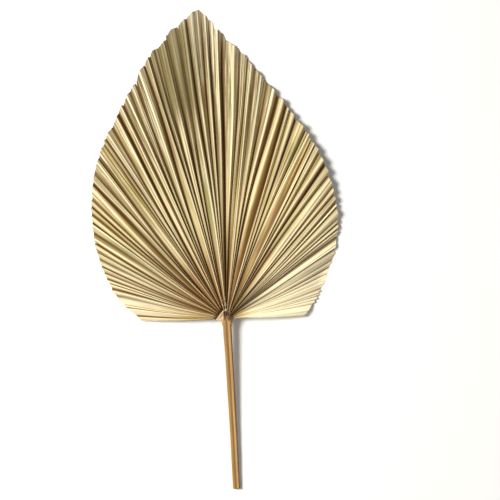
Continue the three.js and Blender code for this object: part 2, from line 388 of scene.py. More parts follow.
def bunch_folds():
    """Where the folds run by the head, and how far each one rises or sinks with its bunch, from -1 to 1.

    Each bunch makes one large fold: one facet lies open and rises to the right, and the others are squeezed
    together on the way down. The bunch up the middle has no open facet.
    """
    bunched = [fold.angle for fold in FOLDS]
    keys = [(bunched[0], 0)]
    for first in range(0, len(FOLDS) - 1, BUNCH_FACETS):
        open_facet = 1 + int(draw(first, 15) * (BUNCH_FACETS - 2))
        room = [BUNCH_LEAST + BUNCH_VARY * draw(first + i, 14) for i in range(BUNCH_FACETS)]
        if first != MIDDLE_BUNCH:
            room[open_facet] = BUNCH_OPEN + BUNCH_MORE * draw(first, 16)
        unit = (bunched[first + BUNCH_FACETS] - bunched[first]) / sum(room)
        for i in range(1, BUNCH_FACETS):
            bunched[first + i] = bunched[first + i - 1] + room[i - 1] * unit
        keys += [(bunched[first + open_facet], -1), (bunched[first + open_facet + 1], 1)]
    keys.append((bunched[-1], 0))
    rises = []
    for angle in bunched:
        k = max(next(i for i, key in enumerate(keys) if key[0] >= angle), 1)
        (a, low), (b, high) = keys[k - 1], keys[k]
        rises.append(lerp(low, high, (angle - a) / (b - a)))
    return bunched, rises


BUNCHED, RISES = bunch_folds()


def nick_depth(angle):
    """How far the scissors went inside the smooth margin."""
    degrees = math.degrees(angle)
    depth = 0
    for start, span, cut in NICKS:
        past = math.copysign(1, start) * (degrees - start)
        if 0 <= past < span:
            depth += cut * (1 - past / span)
    return depth


def lie_height(angle, share):
    """The height of the sheet's middle, without its folds."""
    margin = MARGIN_LOW + MARGIN_LIFT * math.sin(math.pi * angle / REST_ANGLE) ** 2
    arch = lerp(ARCH_MIDDLE, ARCH_LOBE, lobe_share(angle))
    radius = margin_radius(angle)
    sink = 0
    for place, depth in ((0, REST_SINK_TIP), (REST_ANGLE, REST_SINK_LOBE), (-REST_ANGLE, REST_SINK_LOBE)):
        sink += depth * math.exp(-(((angle - place) * radius / REST_SPAN) ** 2))
    return lerp(HEAD_HEIGHT, margin, share) + 4 * arch * share * (1 - share) - sink * share**REST_FADE


def flat_share(angle):
    """How much of their depth the folds keep: the right lobe has dried nearly flat."""
    return 1 - FLAT_LOBE * smoothstep(*FLAT_ANGLES, angle)


def ripple(facet, across):
    """Small creases along a facet, from -1 to 1, that leave its two folds alone."""
    step = max(bisect_left(RIPPLE_STEPS, across), 1)
    heights = [0] + [stray(4 * facet + i, 18) for i in (1, 2, 3)] + [0]
    share = (across - RIPPLE_STEPS[step - 1]) / (RIPPLE_STEPS[step] - RIPPLE_STEPS[step - 1])
    return lerp(heights[step - 1], heights[step], share)


def fold_height(fold, radius, share):
    """How far a crest stands up or a valley goes down."""
    depth_share = lerp(DEPTH_MIDDLE, DEPTH_LOBE, lobe_share(fold.angle))
    wanted = depth_share * (1 + DEPTH_SPREAD * stray(fold.index, 3)) * fold.pitch * radius
    depth = DEPTH_MOST * (1 - math.exp(-wanted / DEPTH_MOST)) * flat_share(fold.angle)
    depth *= 1 + LOOSE * stray(fold.index, 7) * smoothstep(LOOSE_FROM, 1, share)
    depth *= 1 - SLACK * smoothstep(SLACK_FROM, 1, share) * (1 - lobe_share(fold.angle))
    uneven = UNEVEN * stray(fold.index, 13) * math.exp(-radius / UNEVEN_REACH)
    if fold is MIDDLE:
        uneven -= MIDDLE_SINK * math.exp(-radius / MIDDLE_REACH)
    return fold.side * depth / 2 + uneven * smoothstep(0, UNEVEN_FULL, share)


def wander(fold, radius):
    """How far a fold line strays sideways on its way out, as an angle."""
    wave = lerp(*WANDER_WAVES, draw(fold.index, 8))
    return WANDER * fold.pitch * math.sin(radius / wave + WANDER_PHASE * draw(fold.index, 9))


def gather(angle, radius):
    """Where a fold at an angle runs at a distance from the fan centre. Folds close up by the head."""
    return angle * (1 - GATHER * math.exp(-radius / GATHER_REACH))


def throat_radius(angle):
    """How far from the fan centre a fold starts."""
    radius = THROAT[0][0]
    for _ in range(4):
        turned = gather(angle, radius)
        radius = min(distance / max(math.cos(turned - way), 0.01) for distance, way in THROAT)
    return radius


def tooth_length(fold):
    """How far a fold stands out of the smooth margin."""
    return fold.side * TOOTH + TOOTH_SPREAD * stray(fold.index, 4)


def fold_run(facet, across, radius):
    """The direction of a place across a facet, at a distance from the fan centre."""
    bunched = lerp(BUNCHED[facet], BUNCHED[facet + 1], across)
    even = lerp(FOLDS[facet].angle, FOLDS[facet + 1].angle, across)
    return lerp(bunched, even, smoothstep(BUNCH_START, BUNCH_END, radius))


def margin_reach(facet, across):
    """How far the trimmed margin is from the fan centre at a place across a facet."""
    a, b = FOLDS[facet], FOLDS[facet + 1]
    rim = fold_run(facet, across, margin_radius(lerp(a.angle, b.angle, across)))
    return margin_radius(rim) + lerp(tooth_length(a), tooth_length(b), across) - nick_depth(rim)


def sheet_point(place, share, blade):
    """The sheet's underside at a place counted in facets from the left and a share of the way out.

    Returns the point in millimetres from the fan centre, its distance from the head, its share of the
    way up a fold and how far it rises with its bunch.
    """
    facet = min(int(place), len(FOLDS) - 2)
    across = place - facet
    a, b = FOLDS[facet], FOLDS[facet + 1]
    outer = margin_reach(facet, across) + MARGIN_ROUGH * stray(round(place * len(FACET_STEPS)), 10)
    if across == 0 and a.side < 0 and draw(a.index, 11) < SPLIT_VALLEYS:
        outer -= blade.notch / MM * draw(a.index, 12) ** 2
    inner = throat_radius(fold_run(facet, across, 0))
    radius = lerp(inner - UNDER_HEAD, outer, share)
    run = fold_run(facet, across, radius)
    folded = lerp(fold_height(a, radius, share), fold_height(b, radius, share), across)
    height = lie_height(run, share) + folded
    width = (b.angle - a.angle) * radius
    crease = CREASE_STEPS[int(draw(facet, 17) * len(CREASE_STEPS))]
    bend = min(blade.crease * width, CREASE_MOST) * stray(facet, 5) * flat_share(a.angle)
    height += bend * min(across / crease, (1 - across) / (1 - crease))
    height += RIPPLE * width * ripple(facet, across) * flat_share(a.angle) * smoothstep(*RIPPLE_OUT, radius)
    rise = lerp(RISES[facet], RISES[facet + 1], across)
    height += BUNCH_DEPTH * rise * math.exp(-radius / BUNCH_REACH)
    if across == 0:
        height += a.side * blade.rib / MM * smoothstep(*RIB_OUT, radius)
    else:
        height += blade.vein / MM * stray(round(place * VEIN_DRAWS), 6) * smoothstep(*VEIN_OUT, radius)
    height = max(height - blade.sheet / MM / 2, 0)
    turned = gather(run + lerp(wander(a, radius), wander(b, radius), across), radius)
    up = 0.5 + 0.5 * lerp(a.side, b.side, across)
    return Vector((radius * math.sin(turned), radius * math.cos(turned), height)), radius - inner, up, rise


def fan_frame():
    """From millimetres round the fan centre to the row's frame, as the solid blade's box gives it."""
    ends = []
    for facet in range(len(FOLDS) - 1):
        outer = margin_reach(facet, 0)
        turned = gather(fold_run(facet, 0, outer), outer)
        ends.append((outer * math.sin(turned), outer * math.cos(turned)))
    low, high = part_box("blade")
    left = low.x - MM * min(x for x, _ in ends)
    top = high.y - MM * max(y for _, y in ends)
    return Matrix.Translation((left, top, 0)) @ Matrix.Scale(MM, 4)


FAN = fan_frame()


def new_object(name, bm, *materials):
    """Puts what was made round the fan centre in the row's frame, as a piece that rides on the leaf."""
    bmesh.ops.transform(bm, matrix=FAN, verts=bm.verts)
    mesh = bpy.data.meshes.new(name)
    bm.to_mesh(mesh)
    bm.free()
    for material in materials:
        mesh.materials.append(material)
    piece = bpy.data.objects.new(name, mesh)
    bpy.context.scene.collection.objects.link(piece)
    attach(piece, BODY)
    return piece


def add_node(tree, kind, inputs=None, **settings):
    """Adds a node with its settings, links or sets its inputs, and gives its first output in use."""
    node = tree.nodes.new(kind)
    for name, value in settings.items():
        setattr(node, name, value)
    for key, value in (inputs or {}).items():
        socket = next(item for item in node.inputs if item.enabled and key in (item.name, item.identifier))
        if isinstance(value, bpy.types.NodeSocket):
            tree.links.new(value, socket)
        else:
            socket.default_value = value
    return next((item for item in node.outputs if item.enabled), None)


def new_material(name):
    """A material with an empty node tree, and the call that adds nodes to it."""
    material = bpy.data.materials.new(name)
    material.use_nodes = True
    material.node_tree.nodes.clear()
    return material, partial(add_node, material.node_tree)


def finish_material(add, inputs):
    """Adds the shader with its inputs, and the output."""
    surface = add("ShaderNodeBsdfPrincipled", inputs)
    add("ShaderNodeOutputMaterial", {"Surface": surface})


def lay_colours(add, tint, layers):
    """Lays colours over a tint. A layer has limits, which multiply, the most it covers, and its colour.

    A limit is a value, where the layer starts and where it is full.
    """
    for limits, most, tone in layers:
        share = most
        for value, start, full in limits:
            ends = {"From Min": start, "From Max": full, "To Max": share}
            share = add("ShaderNodeMapRange", {"Value": value, **ends}, interpolation_type="SMOOTHSTEP")
        tint = add("ShaderNodeMix", {"Factor": share, "A": tint, "B": tone}, data_type="RGBA")
    return tint


def vary_brightness(add, tint, rows):
    """Makes a tint darker and lighter: each row is a value, its range, and the brightness at both ends."""
    for value, start, end, first, last in rows:
        ends = {"From Min": start, "From Max": end, "To Min": first, "To Max": last}
        bright = add("ShaderNodeMapRange", {"Value": value, **ends})
        tint = add("ShaderNodeHueSaturation", {"Color": tint, "Value": bright})
    return tint


def add_streaks(add, place, rows):
    """Patterns drawn out along the leaf: each row has a scale on three axes, and the pattern's detail."""
    apart = 11  # moves each pattern away from the one before
    streaks = []
    for scale, detail in rows:
        moves = {"Vector_001": scale, "Vector_002": (apart * len(streaks), 0, 0)}
        at = add("ShaderNodeVectorMath", {"Vector": place, **moves}, operation="MULTIPLY_ADD")
        look = {"Vector": at, "Scale": 1, "Detail": detail, "Roughness": 0.6}
        streaks.append(add("ShaderNodeTexNoise", look))
    return streaks


def dried_palm_sheet(blade):
    """Dried palm leaf: a matt straw sheet with veins running out, painted shade down the folds, painted
    light on the lobes and pale crests, partly painted highlight.
    """
    material, add = new_material("dried_palm_sheet")
    place = add("ShaderNodeAttribute", attribute_name="fold_map").node.outputs["Vector"]
    pleat, reach, crest = add("ShaderNodeSeparateXYZ", {"Vector": place}).node.outputs
    bunch = add("ShaderNodeAttribute", attribute_name="bunch_map").node.outputs["Fac"]
    flank = add("ShaderNodeMath", {"Value": pleat}, operation="FRACT")
    middle = add("ShaderNodeMath", {"Value": pleat, "Value_001": MIDDLE.index / 2}, operation="SUBTRACT")

    # How many streaks to a pleat and to a millimetre of its length, and their detail
    green, rosy, brown, line, vein = add_streaks(add, place, (
        ((0.9, 0.012, 0), 3),
        ((2.1, 0.014, 0), 3),
        ((0.8, 0.007, 0), 3),
        ((4.5, 0.004, 0), 2),
        ((10, 0.012, 0), 4),
    ))

    # One draw for each facet, each valley and each crest
    draws = []
    for scale, offset in ((2, 0), (1, 0.5), (1, 200)):
        steps = {"Value": pleat, "Value_001": scale, "Value_002": offset}
        moved = add("ShaderNodeMath", steps, operation="MULTIPLY_ADD")
        whole = add("ShaderNodeMath", {"Value": moved}, operation="FLOOR")
        draws.append(add("ShaderNodeTexWhiteNoise", {"W": whole}, noise_dimensions="1D"))
    facet, valley, top = draws

    # Limits that hold a layer to a part of the leaf, with reach in millimetres from the head
    right_lobe = (pleat, PLEATS * 0.62, PLEATS * 0.92)
    left_lobe = (pleat, PLEATS * 0.24, PLEATS * 0.04)
    off_right_lobe = (pleat, PLEATS, PLEATS * 0.7)
    off_left_lobe = (pleat, 0, PLEATS * 0.14)
    before_right_lobe = (pleat, PLEATS * 0.9, PLEATS * 0.8)
    after_left_lobe = (pleat, PLEATS * -0.08, PLEATS * 0.24)
    off_tip = (reach, 330, 200)
    faint_at_tip = (reach, 400, 250)
    off_head = (reach, 15, 70)
    lobe_off_head = (reach, 2, 30)
    faint_at_head = (reach, -20, 60)
    right_flank = (flank, 0.47, 0.53)
    left_half = (pleat, PLEATS * 0.5, PLEATS * 0.34)
    fading_right = (pleat, PLEATS, PLEATS * 0.82)
    tint = lay_colours(add, blade.straw, (
        # Painted shade tint, deeper in colour, on the right flank of each pleat, away from the key light
        ((right_flank,), 0.75, blade.shaded_flank_tint),
        # Olive and rosy streaks, some 40 mm long and a pleat or less wide
        (((green, 0.48, 0.64),), 0.65, blade.olive),
        (((rosy, 0.53, 0.68),), 0.65, blade.rose),
        # Golden by the stalk, grey at the tip, and painted light on the lobes
        (((reach, 110, 5), before_right_lobe, after_left_lobe), 0.85, blade.gold),
        (((reach, 205, 330),), 0.85, blade.grey),
        ((right_lobe, lobe_off_head), 0.95, blade.pale),
        ((left_lobe, off_head), 0.7, blade.pale),
        # Duller up the middle
        (((middle, -24, -3), (middle, 9, 0), (reach, 80, 200), (reach, 345, 270)), 0.55, blade.shade),
    ))
    # Facets differ at random. Painted light makes the sheet lighter to the right and towards both lobes
    tint = vary_brightness(add, tint, (
        (facet, 0, 1, 0.72, 1.12),
        (pleat, PLEATS * 0.3, PLEATS, 0.84, 1.28),
        (pleat, PLEATS * 0.3, PLEATS * 0.05, 1, 1.44),
        (pleat, PLEATS * 0.52, PLEATS * 0.62, 1, 1.13),
        # Less painted light over the last pleats, and the tip lighter
        (pleat, PLEATS * 0.86, PLEATS, 1, 0.76),
        (reach, 240, 330, 1, 1.4),
    ))
    tint = lay_colours(add, tint, (
        # Veins, 2 or 3 mm apart half way out, with finer ones between them, brown or pale
        (((line, 0.53, 0.61), (facet, -0.4, 0.8), (reach, 20, 110)), 0.7, blade.valley),
        (((line, 0.45, 0.37), (reach, 20, 110)), 0.55, blade.pale),
        (((vein, 0.5, 0.66), (reach, 30, 130)), 0.3, blade.valley),
        (((vein, 0.5, 0.34), (reach, 30, 130)), 0.3, blade.pale),
        # The finer ones show more towards the tip
        (((vein, 0.51, 0.59), (reach, 130, 250)), 0.55, blade.valley),
        (((vein, 0.47, 0.39), (reach, 130, 250)), 0.6, blade.pale),
        # Umber streaks, stronger towards the stalk
        (((brown, 0.52, 0.68), (reach, 330, 20), off_right_lobe, after_left_lobe), 0.75, blade.valley),
        # Painted shade down in the folds, wider on the right flank; pale crests, partly painted highlight
        (((crest, 0.45, 0), (valley, -0.5, 0.8), faint_at_head, fading_right, faint_at_tip),
            0.95, blade.valley),
        (((crest, 0.3, 0), faint_at_head, faint_at_tip), 0.55, blade.valley),
        # Painted shade on the right flanks of some pleats, and olive painted shade on the left half
        (((crest, 0.95, 0.3), right_flank, (valley, 0.3, 0.7), off_right_lobe, off_left_lobe, off_tip),
            0.9, blade.valley),
        (((crest, 0.75, 0.15), right_flank, left_half, off_left_lobe, off_tip), 0.65, blade.dark_olive),
        (((crest, 0.72, 1), (top, -0.3, 0.8), (reach, -20, 35)), 0.9, blade.pale),
        # Reddish streaks by the head
        (((rosy, 0.5, 0.62), (reach, 120, 20), before_right_lobe), 0.55, blade.russet),
        # The large folds by the head get painted shade below and a painted highlight on top too
        (((bunch, 0.2, -0.9), (reach, 140, 10), before_right_lobe, off_left_lobe), 0.9, blade.valley),
        (((bunch, 0.7, 1), (reach, 160, 10)), 0.9, blade.pale),
        # A painted shadow in a patch on the upper left
        (((middle, -8.5, -6), (middle, -1.5, -4), (reach, 190, 240), (reach, 348, 315)), 0.8, blade.shade),
        # Painted shade in the deep valley up the middle
        (((middle, -1.5, -0.3), (middle, 0.15, 0), (reach, 240, 60)), 0.75, blade.valley),
        (((middle, -2, -1), (middle, 2.5, 1.5), (reach, 120, 20)), 0.6, blade.valley),
        # Painted shade in a dark rim round the head, and darker olive folds on the right of it
        (((reach, 3.5, 0.5),), 0.8, blade.valley),
        (((pleat, PLEATS * 0.56, PLEATS * 0.66), before_right_lobe, (reach, 75, 3)), 0.75, blade.dark_olive),
    ))
    bump = add("ShaderNodeBump", {"Height": vein, "Strength": 0.5, "Distance": 0.25 * MM})
    finish_material(add, {
        "Base Color": tint, "Normal": bump, "Roughness": 0.6, "IOR": 1.45, "Specular IOR Level": 0.15,
    })
    return material


def stalk_skin(stalk):
    """Dried leaf stalk: a smooth, slightly waxy skin over lengthwise fibres, with painted light on its left
    edge and painted shade on its right one.
    """
    material, add = new_material("dried_stalk_skin")
    place = add("ShaderNodeAttribute", attribute_name="stalk_map").node.outputs["Vector"]
    across = add("ShaderNodeSeparateXYZ", {"Vector": place}).node.outputs["X"]

    # Fibres and broader streaks, both some 40 mm long
    fibre, broad = add_streaks(add, place, (((9, 0.025, 9), 4), ((1.2, 0.025, 1.2), 4)))
    tint = lay_colours(add, stalk.skin, (
        # Seen from above: a pale left edge, a brown band, a pale stripe right of it and a dark right edge
        # The pale left edge is painted light and the dark right edge painted shade
        (((across, -0.65, -0.95),), 0.6, stalk.stripe),
        (((across, -0.42, -0.15), (across, 0.26, 0.02)), 0.8, stalk.band),
        (((across, 0.08, 0.28), (across, 0.8, 0.6)), 0.9, stalk.stripe),
        (((across, 0.62, 0.9),), 0.9, stalk.shade),
        (((fibre, 0.52, 0.72),), 0.65, stalk.shade),
    ))
    tint = vary_brightness(add, tint, ((broad, 0.3, 0.7, 0.82, 1.14),))
    bump = add("ShaderNodeBump", {"Height": fibre, "Strength": 0.5, "Distance": 0.3 * MM})
    finish_material(add, {"Base Color": tint, "Normal": bump, "Roughness": 0.45, "IOR": 1.46})
    return material


def head_skin(stalk):
    """Dried base of the fan: a cream lip that curls up, plum-brown tissue beside it and painted shade in
    its hollows.
    """
    material, add = new_material("dried_head_skin")
    place = add("ShaderNodeTexCoord").node.outputs["Object"]
    shares = add("ShaderNodeAttribute", attribute_name="head_map").node.outputs["Vector"]
    cream, plum, dark = add("ShaderNodeSeparateXYZ", {"Vector": shares}).node.outputs
    patch = add("ShaderNodeTexNoise", {"Vector": place, "Scale": 1 / (2.5 * MM), "Detail": 4})
    tint = lay_colours(add, stalk.skin, (
        (((cream, 0, 1),), 1, stalk.cream),
        (((plum, 0, 1),), 1, stalk.plum),
        (((cream, 0.5, 1), (patch, 0.5, 0.62)), 0.6, stalk.blush),
        (((plum, 0.5, 1), (patch, 0.54, 0.66)), 0.6, stalk.blush),
    ))
    tint = vary_brightness(add, tint, ((patch, 0.3, 0.7, 0.65, 1.2),))
    # Painted shade, near black, in the crack and the hollows
    tint = lay_colours(add, tint, ((((dark, 0, 1),), 1, stalk.hollow),))
    bump = add("ShaderNodeBump", {"Height": patch, "Strength": 0.6, "Distance": 0.4 * MM})
    finish_material(add, {"Base Color": tint, "Normal": bump, "Roughness": 0.6, "IOR": 1.45})
    return material


def mottled(name, first, second, size, roughness):
    """Dry plant tissue in two tones, in patches of the given size, with a rough broken surface."""
    material, add = new_material(name)
    place = add("ShaderNodeTexCoord").node.outputs["Object"]
    patch = add("ShaderNodeTexNoise", {"Vector": place, "Scale": 1 / size, "Detail": 4, "Roughness": 0.6})
    tint = lay_colours(add, first, ((((patch, 0.38, 0.62),), 1, second),))
    bump = add("ShaderNodeBump", {"Height": patch, "Strength": 0.6, "Distance": 0.4 * MM})
    finish_material(add, {"Base Color": tint, "Normal": bump, "Roughness": roughness, "IOR": 1.45})
    return material


def map_for_baking(bm, pleats_at, share_at, upper):
    """Lays the sheet out for the export: upper face, underside and rims each in a band of their own."""
    layout = bm.loops.layers.uv.new("OFBake")
    for face in bm.faces:
        sides = [loop.vert[upper] for loop in face.loops]
        shares = [loop.vert[share_at] for loop in face.loops]
        rim = max(sides) != min(sides)
        for loop in face.loops:
            u = loop.vert[pleats_at].x / PLEATS
            v = loop.vert[share_at]
            side = loop.vert[upper]
            if not rim:
                loop[layout].uv = (u, lerp(*(UPPER_BAND if side else UNDER_BAND), v))
            elif min(shares) == 1:
                loop[layout].uv = (u, OUTER_RIM + OUTER_RIM_WIDTH * side)
            elif max(shares) == 0:
                loop[layout].uv = (u, INNER_RIM + RIM_WIDTH * side)
            else:
                loop[layout].uv = (v / 2 + (0.5 if u > 0.5 else 0), SIDE_RIM + RIM_WIDTH * side)


class LEAF_OT_blade(bpy.types.Operator):
    """Make the pleated sheet"""

    bl_idname = "leaf.make_blade"
    bl_label = "Blade"

    def execute(self, context):
        blade = context.scene.leaf_blade
        facets = len(FOLDS) - 1
        columns = facets * len(FACET_STEPS)
        bm = bmesh.new()
        fold_map = bm.verts.layers.float_vector.new("fold_map")
        bunch_map = bm.verts.layers.float.new("bunch_map")
        share_at = bm.verts.layers.float.new("share")
        upper = bm.verts.layers.int.new("upper")
        bmesh.ops.create_grid(bm, x_segments=columns, y_segments=SHEET_ROWS, size=0.5)
        for vert in bm.verts:
            column = round((vert.co.x + 0.5) * columns)
            share = round((vert.co.y + 0.5) * SHEET_ROWS) / SHEET_ROWS
            facet, step = divmod(column, len(FACET_STEPS))
            place = facet + FACET_STEPS[step]
            vert.co, reach, up, rise = sheet_point(place, share, blade)
            vert[fold_map] = (place / 2, reach, up)
            vert[bunch_map] = rise
            vert[share_at] = share
        over = bmesh.ops.extrude_face_region(bm, geom=bm.faces[:], use_keep_orig=True)["geom"]
        over = [item for item in over if isinstance(item, bmesh.types.BMVert)]
        for vert in over:
            vert[upper] = 1
        bmesh.ops.translate(bm, verts=over, vec=(0, 0, blade.sheet / MM))

        def rank(part):
            corners = [vert.index for vert in part.verts]
            return min(corners) * len(bm.verts) + max(corners)

        # The extrusion makes its rims in no fixed order, so they get one
        bm.verts.index_update()
        for parts in (bm.edges, bm.faces):
            parts.sort(key=rank)
        bmesh.ops.recalc_face_normals(bm, faces=bm.faces)
        map_for_baking(bm, fold_map, share_at, upper)
        for face in bm.faces:
            face.smooth = True
        for edge in bm.edges:
            rims = [len({v[upper] for v in face.verts}) > 1 for face in edge.link_faces]
            edge.smooth = all(rims) or not any(rims)
        piece = new_object("palm_blade", bm, dried_palm_sheet(blade))
        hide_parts("blade")
        return {"FINISHED"}


def lay_rod(bm, path, section, sides, steps):
    """A rod along a path: section gives a corner's place across and above it at a share of the way.

    Returns each vertex with its share of the way and its place on a round section.
    """
    before, faces_before = len(bm.verts), len(bm.faces)
    made = bmesh.ops.create_cone(bm, cap_ends=True, segments=sides, radius1=1, radius2=1, depth=1)["verts"]
    upper = [vert for vert in made if vert.co.z > 0]
    rails = [edge for vert in upper for edge in vert.link_edges if edge.other_vert(vert).co.z < 0]
    bmesh.ops.subdivide_edges(bm, edges=rails, cuts=steps - 1)
    bm.verts.ensure_lookup_table()
    verts = bm.verts[before:]
    last = len(path) - 1
    found = []
    for vert in verts:
        share = vert.co.z + 0.5
        k = min(int(share * last), last - 1)
        centre = path[k].lerp(path[k + 1], share * last - k)
        along = (path[min(k + 2, last)] - path[max(k - 1, 0)]).normalized()
        right = along.cross(Vector((0, 0, 1))).normalized()
        above = right.cross(along)
        across, height = section(vert.co.x, vert.co.y, share)
        found.append((vert, share, vert.co.x, vert.co.y))
        vert.co = centre + right * across + above * height
    # Right, above and along make a mirrored frame, so the faces are turned round
    bm.faces.ensure_lookup_table()
    bmesh.ops.reverse_faces(bm, faces=bm.faces[faces_before:])
    bm.normal_update()
    return found


class LEAF_OT_stalk(bpy.types.Operator):
    """Make the stalk with its channel, fibres and cut end"""

    bl_idname = "leaf.make_stalk"
    bl_label = "Stalk"

    def execute(self, context):
        stalk = context.scene.leaf_stalk
        head = HEAD_HEIGHT - STALK_DROP
        bare = (
            (STALK_LEAN, -STALK_REACH, stalk.depth_cut / MM / 2),
            (STALK_MIDDLE_LEAN * STALK_LEAN, -STALK_REACH / 2, STALK_MIDDLE_RISE * head),
        )
        under = ((0, 0, head), (0, RIB_REACH / 2, head - RIB_DROP), (0, RIB_REACH, head - RIB_DROP_END))
        path = spline(bare + under[:1], STALK_STEPS) + spline(under, RIB_STEPS)[1:]
        rib_start = STALK_STEPS / (STALK_STEPS + RIB_STEPS)

        def section(x, y, share):
            swell = min(share / rib_start, 1) ** 2
            narrow = lerp(1, RIB_NARROW, smoothstep(rib_start, 1, share))
            width = lerp(stalk.width_cut, stalk.width_head, swell) / MM * narrow / 2
            depth = lerp(stalk.depth_cut, stalk.depth_head, swell) / MM * narrow / 2
            turn = math.atan2(y, x)
            fibre = stalk.fibre / MM * stray(round(turn * STALK_SIDES / math.tau), 21)
            broad = 0.3 * noise.noise((2 * x, 2 * y, share * 14))
            lump = broad + 0.12 * noise.noise((5 * x, 5 * y, share * 60))
            groove = CHANNEL * math.exp(-((x / CHANNEL_WIDTH) ** 2)) if y > 0 else 0
            rise = FLAT_TOP * y - groove if y > 0 else y
            grow = 1 + (fibre + lump) / depth * 0.5
            return x * width * grow, rise * depth * grow

        bm = bmesh.new()
        stalk_map = bm.verts.layers.float_vector.new("stalk_map")
        for vert, share, x, y in lay_rod(bm, path, section, STALK_SIDES, STALK_ROWS):
            vert[stalk_map] = (x, share * STALK_REACH / rib_start, y)
            vert.co.z = max(vert.co.z, 0)
        for face in bm.faces:
            face.smooth = True
        ends = [face for face in bm.faces if len(face.verts) > 4]
        cut = min(ends, key=lambda face: face.calc_center_median().y)
        rim = bmesh.ops.inset_region(bm, faces=[cut], thickness=CUT_RIM, depth=-CUT_DISH)["faces"]
        cut.material_index = 1
        for face in rim:
            face.material_index = 1
        heart = bmesh.ops.poke(bm, faces=[cut])
        bmesh.ops.translate(bm, verts=heart["verts"], vec=(0, CUT_HEART, 0))
        pith = mottled("cut_pith", stalk.pith, stalk.shade, 0.9 * MM, 0.85)
        piece = new_object("leaf_stalk", bm, stalk_skin(stalk), pith)
        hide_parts("stalk")
        return {"FINISHED"}


def grown_together(name, lumps, voxel):
    """Rounded lumps, each a middle, half sizes and a turn in degrees, grown into one knobbly body."""
    bm = bmesh.new()
    for middle, halves, turn in lumps:
        made = bmesh.ops.create_icosphere(bm, subdivisions=2, radius=1)["verts"]
        bmesh.ops.scale(bm, verts=made, vec=halves)
        bmesh.ops.rotate(bm, verts=made, matrix=Matrix.Rotation(math.radians(turn), 3, "Z"))
        bmesh.ops.translate(bm, verts=made, vec=middle)
    rough = bpy.data.meshes.new(name)
    bm.to_mesh(rough)
    bm.free()
    holder = bpy.data.objects.new(name, rough)
    bpy.context.scene.collection.objects.link(holder)
    remesh = holder.modifiers.new("Grow together", "REMESH")
    remesh.mode = "VOXEL"
    remesh.voxel_size = voxel
    shape = holder.evaluated_get(bpy.context.evaluated_depsgraph_get()).to_mesh()
    bm = bmesh.new()
    bm.from_mesh(shape)
    bpy.data.objects.remove(holder)
    bpy.data.meshes.remove(rough)
    drop_bubbles(bm)
    for _ in range(3):
        axes = {"use_axis_x": True, "use_axis_y": True, "use_axis_z": True}
        bmesh.ops.smooth_vert(bm, verts=bm.verts, factor=0.5, **axes)
    bm.normal_update()
    for vert in bm.verts:
        knobs = 0.35 * noise.noise(vert.co * 0.45)
        grain = 0.12 * noise.noise(vert.co * 1.6)
        vert.co += vert.normal * (knobs + grain)
    for face in bm.faces:
        face.smooth = True
    return bm


def drop_bubbles(bm):
    """Deletes the small bodies that were closed in, and keeps the largest one."""
    islands = []
    left = set(bm.verts)
    while left:
        queue = [left.pop()]
        island = []
        while queue:
            vert = queue.pop()
            island.append(vert)
            near = [link.other_vert(vert) for link in vert.link_edges]
            near = [other for other in near if other in left]
            left.difference_update(near)
            queue += near
        islands.append(island)
    islands.sort(key=len)
    for island in islands[:-1]:
        bmesh.ops.delete(bm, geom=island, context="VERTS")


def ridge(start, end, thick, seed):
    """Lumps in a row that make an uneven, arched ridge, given its thickness at both ends."""
    start, end = Vector(start), Vector(end)
    turn = math.degrees(math.atan2(start.x - end.x, end.y - start.y))
    lumps = []
    for i in range(RIDGE_LUMPS):
        share = i / (RIDGE_LUMPS - 1)
        size = lerp(*thick, share) * (1 + RIDGE_SPREAD * stray(i, seed))
        middle = start.lerp(end, share) + Vector((0, 0, RIDGE_RISE)) * math.sin(math.pi * share)
        lumps.append((middle, (size, size * 1.5, size * 1.15), turn))
    return lumps


def ridges(count, feet, ends, thick, seed):
    """Ridges side by side, given the first and the last one's foot and end."""
    lumps = []
    for i in range(count):
        share = i / (count - 1)
        foot = Vector([lerp(a, b, share) for a, b in zip(*feet)])
        end = Vector([lerp(a, b, share) for a, b in zip(*ends)])
        lumps += ridge(foot, end, thick, seed + i)
    return lumps


def head_tone(x, y):
    """How cream, how plum and how dark the head is at a place from the fan centre, each from 0 to 1."""
    hollows = ((-1.9, 9.4), (1.5, 8.6))
    _, way = THROAT[0]
    leftwards = x * math.sin(way) + y * math.cos(way)
    arm = smoothstep(7.4, 8.4, leftwards)
    web = smoothstep(-3, -4.2, x)
    cream = max(arm, web) * smoothstep(-4, 1, y)
    spots = sum(math.exp(-((x - u) ** 2 + ((y - v) / 1.7) ** 2) / 1.1) for u, v in hollows)
    # The dark is painted shade: in the crack behind the arm and in two hollows
    dark = max(smoothstep(10.8, 11.4, leftwards), min(spots, 1))
    return cream, smoothstep(1, 4.5, y + 0.9 * x) * (1 - cream), dark


